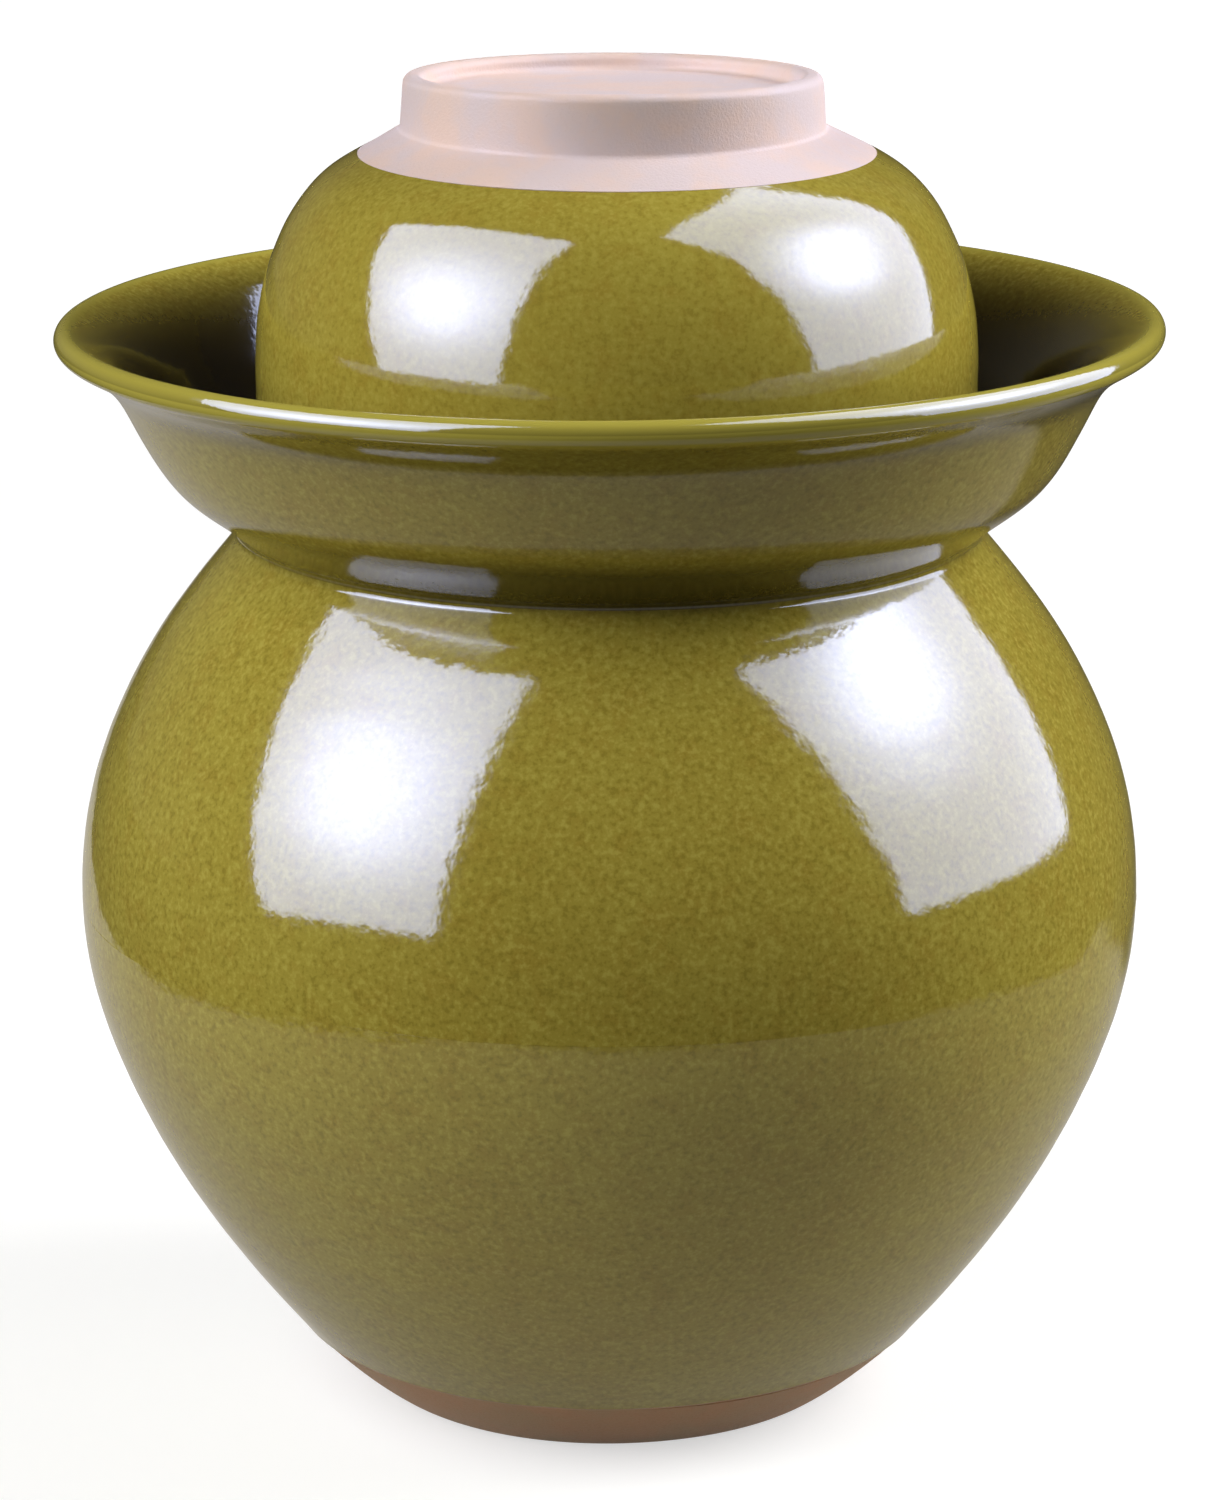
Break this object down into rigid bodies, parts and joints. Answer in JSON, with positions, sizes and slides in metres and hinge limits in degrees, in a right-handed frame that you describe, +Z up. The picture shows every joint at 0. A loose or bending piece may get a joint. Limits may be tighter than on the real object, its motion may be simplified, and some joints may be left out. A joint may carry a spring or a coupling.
{
  "type": "water seal pickle jar",
  "caption": "Round-bellied glazed stoneware pickle jar with a dished water channel around its neck and a bowl-shaped lid that stands in the channel.",
  "frame": {"origin": "centre of the flat base that the jar stands on", "axes": "+Z up along the axis that the jar, the neck and the lid are turned about; the part is round, so X and Y are free; -Y is the side that the picture shows"},
  "size_m": [0.197, 0.197, 0.2411],
  "materials": {
    "olive_glaze": "glossy olive green glaze, finely speckled, yellower where it is thin and darker where it pools",
    "foot_clay": "bare fired clay, reddish brown, matte",
    "lid_clay": "bare fired clay, pale pink, matte"
  },
  "bodies": {
    "jar": {"jar_foot": "foot_clay", "lower_belly": "olive_glaze", "shoulder": "olive_glaze", "water_channel": "olive_glaze", "neck": "olive_glaze"},
    "lid": {"lid_bowl": "olive_glaze", "lid_ring": "lid_clay"}
  },
  "joints": [
    {"name": "lid_lift", "type": "slide", "parent": "jar", "child": "lid", "axis": [0, 0, 1], "range_m": [0, 0.12]}
  ]
}
